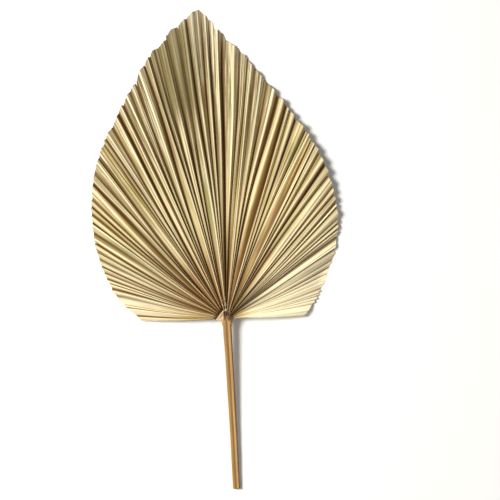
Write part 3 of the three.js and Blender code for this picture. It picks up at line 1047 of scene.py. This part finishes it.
class LEAF_OT_head(bpy.types.Operator):
    """Make the stalk's head: a cream arm on the left with a crack behind it painted dark as shade, and a
    plum-brown lump
    """

    bl_idname = "leaf.make_head"
    bl_label = "Head"

    def execute(self, context):
        arm = ridge((-9.2, 4, 14.4), (-2.4, 12.3, 15.8), (1.1, 0.8), 17)
        crack = ridge((-11.2, 3.4, 11.8), (-3.8, 13.4, 11.6), (1.6, 1.4), 18)
        fibres = ridges(
            7, ((-5.4, 0.6, 13.2), (-2.4, 1, 15)), ((-9.6, 3.6, 14.2), (-2.6, 11, 14.6)), (0.8, 0.75), 40
        )
        fibres += ridges(
            6, ((4.3, -6, 13.2), (1.6, -1, 14.8)), ((6, 4.2, 14.2), (1.6, 12.8, 15)), (0.8, 1.1), 50
        )
        fibres += ridge((-4.6, -6.5, 13), (-5.2, 1, 13.4), (0.3, 0.9), 60)
        hollow = [
            ((-0.4, 6.6, 12.4), (4.6, 6.8, 2.2), 0),
            ((-0.5, 9, 14.4), (0.6, 3.2, 1.3), -4),
        ]
        tip = [
            ((0.4, 13, 14.6), (2, 1.2, 1.3), 0),
            ((2.2, 11.8, 15), (1.1, 1.3, 1.2), 0),
        ]
        bm = grown_together("stalk_head", arm + crack + fibres + hollow + tip, HEAD_VOXEL)
        head_map = bm.verts.layers.float_vector.new("head_map")
        for vert in bm.verts:
            vert[head_map] = head_tone(vert.co.x, vert.co.y)
        piece = new_object("stalk_head", bm, head_skin(context.scene.leaf_stalk))
        return {"FINISHED"}


class LEAF_OT_threads(bpy.types.Operator):
    """Make the loose fibres along the crests by the head and at the margin"""

    bl_idname = "leaf.make_threads"
    bl_label = "Threads"

    def execute(self, context):
        blade = context.scene.leaf_blade
        threads = context.scene.leaf_threads
        thick = threads.radius / MM
        lift = Vector((0, 0, blade.sheet / MM + thick / 2))
        crests = [fold.index for fold in FOLDS if fold.side > 0]

        def tapering(x, y, share):
            size = thick * lerp(1, 0.35, share)
            return x * size, y * size

        bm = bmesh.new()
        for i in range(threads.at_head):
            crest = crests[int(lerp(*HEAD_CRESTS, draw(i, 31)) * len(crests))]
            end = 0.015 + 0.035 * draw(i, 32)
            path = []
            for j in range(7):
                point = sheet_point(crest + 0.3 * stray(i + j, 33), 0.002 + end * j / 6, blade)[0]
                path.append(point + lift + Vector((0, 0, 0.5 * draw(i + 7 * j, 34))))
            lay_rod(bm, path, tapering, THREAD_SIDES, THREAD_STEPS)
        skin = mottled("dry_fibre", blade.pale, blade.gold, 3 * MM, 0.7)
        new_object("head_threads", bm, skin)

        bm = bmesh.new()
        for i in range(threads.at_margin):
            place = crests[int(draw(i, 35) * len(crests))] + 0.2 * stray(i, 39)
            root = sheet_point(place, 0.97, blade)[0] + lift
            rim = sheet_point(place, 1, blade)[0] + lift
            out = (rim - root).normalized()
            reach = 0.8 + 2.6 * draw(i, 36) ** 2
            bend = Vector((-out.y, out.x, 0)) * stray(i, 37) * 1.6
            path = [root.lerp(rim, j / 2) for j in range(3)]
            for j in range(1, 5):
                rise = Vector((0, 0, 0.3 * j * draw(i, 38)))
                path.append(rim + out * reach * j / 4 + bend * (j / 4) ** 2 + rise)
            for point in path:
                point.z = max(point.z, thick)
            lay_rod(bm, path, tapering, THREAD_SIDES, THREAD_STEPS)
        new_object("margin_threads", bm, skin)
        return {"FINISHED"}


def add_light(name, place, target, size, power, tone):
    light = bpy.data.lights.new(name, "AREA")
    light.shape = "DISK"
    light.size = size
    light.energy = power
    light.color = tone
    lamp = bpy.data.objects.new(name, light)
    lamp.location = place
    lamp.rotation_euler = (Vector(target) - Vector(place)).to_track_quat("-Z", "Y").to_euler()
    bpy.context.scene.collection.objects.link(lamp)


class LEAF_OT_stage(bpy.types.Operator):
    """Make the floor, the lights and a camera that looks straight down"""

    bl_idname = "leaf.make_stage"
    bl_label = "Stage"

    def execute(self, context):
        stage = context.scene.leaf_stage
        scene = context.scene
        bm = bmesh.new()
        bmesh.ops.create_grid(bm, x_segments=1, y_segments=1, size=4)
        mesh = bpy.data.meshes.new("floor")
        bm.to_mesh(mesh)
        bm.free()
        paper, add = new_material("plain_paper_floor")
        finish_material(add, {"Base Color": stage.floor, "Roughness": 0.9})
        mesh.materials.append(paper)
        floor = bpy.data.objects.new("floor", mesh)
        scene.collection.objects.link(floor)

        middle = (CAD_BOX[0] + CAD_BOX[1]) / 2
        key = {"place": (-1.15, 0.35, 1.55), "size": 0.8, "tone": (1.0, 0.98, 0.94)}
        fill = {"place": (1.1, -0.6, 1.1), "size": 1.0, "tone": (1.0, 0.97, 0.93)}
        add_light("key", target=middle, power=stage.key, **key)
        add_light("fill", target=middle, power=stage.fill, **fill)
        world = bpy.data.worlds.new("soft_sky")
        world.use_nodes = True
        sky = world.node_tree.nodes["Background"]
        sky.inputs["Color"].default_value = (1, 1, 1, 1)
        sky.inputs["Strength"].default_value = stage.sky
        scene.world = world
        scene.view_settings.view_transform = "Standard"

        frame_pixels = 500
        scale = 1.125  # millimetres to a pixel
        distance = 1.7
        fan_centre = Vector((227, 321))  # where the folds meet in the picture
        right = (frame_pixels / 2 - fan_centre.x) * scale
        up = (fan_centre.y - frame_pixels / 2) * scale
        aim = Matrix.Rotation(-stage.lean, 4, "Z") @ Vector((right, up, 0))
        lens = bpy.data.cameras.new("camera")
        lens.sensor_width = 36
        lens.lens = lens.sensor_width * distance / (frame_pixels * scale * MM)
        camera = bpy.data.objects.new("camera", lens)
        camera.location = FAN @ aim + Vector((0, 0, distance))
        camera.rotation_euler = (0, 0, -stage.lean)
        scene.collection.objects.link(camera)
        scene.camera = camera
        return {"FINISHED"}


class LEAF_PT_pieces(bpy.types.Panel):
    """The leaf's pieces"""

    bl_label = "Dried Fan Palm Leaf"
    bl_space_type = "VIEW_3D"
    bl_region_type = "UI"
    bl_category = "Palm Leaf"

    def draw(self, context):
        for operator in PIECES:
            self.layout.operator(operator.bl_idname)
        for name in SETTINGS:
            group = getattr(context.scene, name)
            box = self.layout.box()
            for key in group.__annotations__:
                box.prop(group, key)


PIECES = (LEAF_OT_blade, LEAF_OT_stalk, LEAF_OT_head, LEAF_OT_threads, LEAF_OT_stage)
SETTINGS = {
    "leaf_blade": BladeSettings,
    "leaf_stalk": StalkSettings,
    "leaf_threads": ThreadSettings,
    "leaf_stage": StageSettings,
}


def register():
    for name, group in SETTINGS.items():
        bpy.utils.register_class(group)
        setattr(bpy.types.Scene, name, PointerProperty(type=group))
    for item in (*PIECES, LEAF_PT_pieces):
        bpy.utils.register_class(item)


def unregister():
    for item in (LEAF_PT_pieces, *reversed(PIECES)):
        bpy.utils.unregister_class(item)
    for name, group in SETTINGS.items():
        delattr(bpy.types.Scene, name)
        bpy.utils.unregister_class(group)


def main():
    register()
    bpy.ops.leaf.make_blade()
    bpy.ops.leaf.make_stalk()
    bpy.ops.leaf.make_head()
    bpy.ops.leaf.make_threads()
    bpy.ops.leaf.make_stage()


if __name__ == "__main__":
    main()
